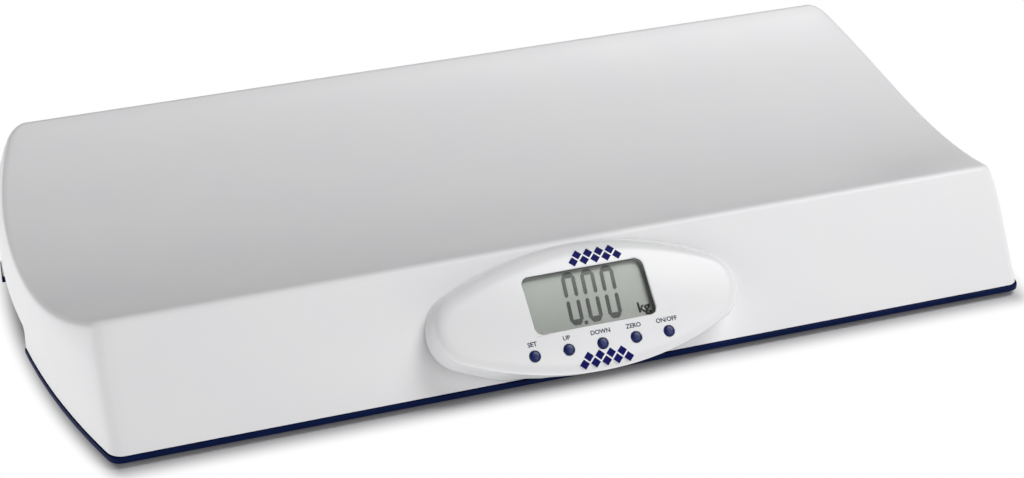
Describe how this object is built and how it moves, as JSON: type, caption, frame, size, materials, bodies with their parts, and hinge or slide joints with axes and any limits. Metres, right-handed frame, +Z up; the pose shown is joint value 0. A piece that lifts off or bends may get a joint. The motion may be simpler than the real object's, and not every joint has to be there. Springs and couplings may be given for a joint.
{
  "type": "baby weighing scale",
  "caption": "Long white baby weighing scale with a curved lying trough, bowed ends, a navy base line and an oval front display pod with a digital reading and push buttons.",
  "frame": {"origin": "centre of the footprint on the floor, under the foot pads", "axes": "+Z up, +Y towards the high back rim, -Y towards the display pod, +X along the length"},
  "size_m": [0.5598, 0.2714, 0.0913],
  "materials": {
    "white_plastic": "satin white ABS",
    "navy_plastic": "navy ABS, fine texture",
    "button_plastic": "navy blue, soft sheen",
    "window_pane": "clear acrylic",
    "lcd": "grey-green liquid crystal panel",
    "black_plastic": "black moulded plastic",
    "circuit_board": "green solder mask on glass fibre",
    "rubber_black": "dark grey rubber",
    "foot_plastic": "pale grey plastic",
    "steel": "plated sheet steel and screws",
    "battery_wrap": "printed steel can with plain bands",
    "lead_cover": "soft lead cover"
  },
  "bodies": {
    "housing": {"tray_shell": "white_plastic", "base_tray": "navy_plastic", "display_housing": "white_plastic", "display_window": "window_pane", "lcd_glass": "lcd", "lcd_frame": "black_plastic", "lcd_connector": "rubber_black", "display_board": "circuit_board", "controller_chip": "black_plastic", "junction_board": "circuit_board", "display_lead": "lead_cover", "battery_lead": "lead_cover", "switch_1": "black_plastic", "switch_2": "black_plastic", "switch_3": "black_plastic", "switch_4": "black_plastic", "switch_5": "black_plastic", "foot_1": "foot_plastic", "foot_pad_1": "rubber_black", "load_cell_1": "steel", "cell_lead_1": "lead_cover", "display_screw_1": "steel", "battery_1": "battery_wrap", "foot_2": "foot_plastic", "foot_pad_2": "rubber_black", "load_cell_2": "steel", "cell_lead_2": "lead_cover", "display_screw_2": "steel", "battery_2": "battery_wrap", "foot_3": "foot_plastic", "foot_pad_3": "rubber_black", "load_cell_3": "steel", "cell_lead_3": "lead_cover", "display_screw_3": "steel", "battery_3": "battery_wrap", "foot_4": "foot_plastic", "foot_pad_4": "rubber_black", "load_cell_4": "steel", "cell_lead_4": "lead_cover", "display_screw_4": "steel", "battery_4": "battery_wrap", "housing_screw_1": "steel", "housing_screw_2": "steel", "housing_screw_3": "steel", "housing_screw_4": "steel", "housing_screw_5": "steel", "housing_screw_6": "steel", "contact_plus": "steel", "contact_minus": "steel", "contact_link_1": "steel", "contact_link_2": "steel", "contact_link_3": "steel"},
    "button_1": {"button_1": "button_plastic"},
    "button_2": {"button_2": "button_plastic"},
    "button_3": {"button_3": "button_plastic"},
    "button_4": {"button_4": "button_plastic"},
    "button_5": {"button_5": "button_plastic"},
    "battery_door": {"battery_door": "navy_plastic"}
  },
  "joints": [
    {"name": "button_1_press", "type": "slide", "parent": "housing", "child": "button_1", "axis": [0, 0.7009, -0.7133], "range_m": [0, 0.0007], "stiffness_N_per_m": 200, "springref_m": -0.00002},
    {"name": "button_2_press", "type": "slide", "parent": "housing", "child": "button_2", "axis": [0, 0.7009, -0.7133], "range_m": [0, 0.0007], "stiffness_N_per_m": 200, "springref_m": -0.00002},
    {"name": "button_3_press", "type": "slide", "parent": "housing", "child": "button_3", "axis": [0, 0.7009, -0.7133], "range_m": [0, 0.0007], "stiffness_N_per_m": 200, "springref_m": -0.00002},
    {"name": "button_4_press", "type": "slide", "parent": "housing", "child": "button_4", "axis": [0, 0.7009, -0.7133], "range_m": [0, 0.0007], "stiffness_N_per_m": 200, "springref_m": -0.00002},
    {"name": "button_5_press", "type": "slide", "parent": "housing", "child": "button_5", "axis": [0, 0.7009, -0.7133], "range_m": [0, 0.0007], "stiffness_N_per_m": 200, "springref_m": -0.00002},
    {"name": "battery_door_hinge", "type": "hinge", "parent": "housing", "child": "battery_door", "pos_m": [0, 0.04038, 0.0041], "axis": [-1, 0, 0], "range_deg": [0, 75]}
  ]
}
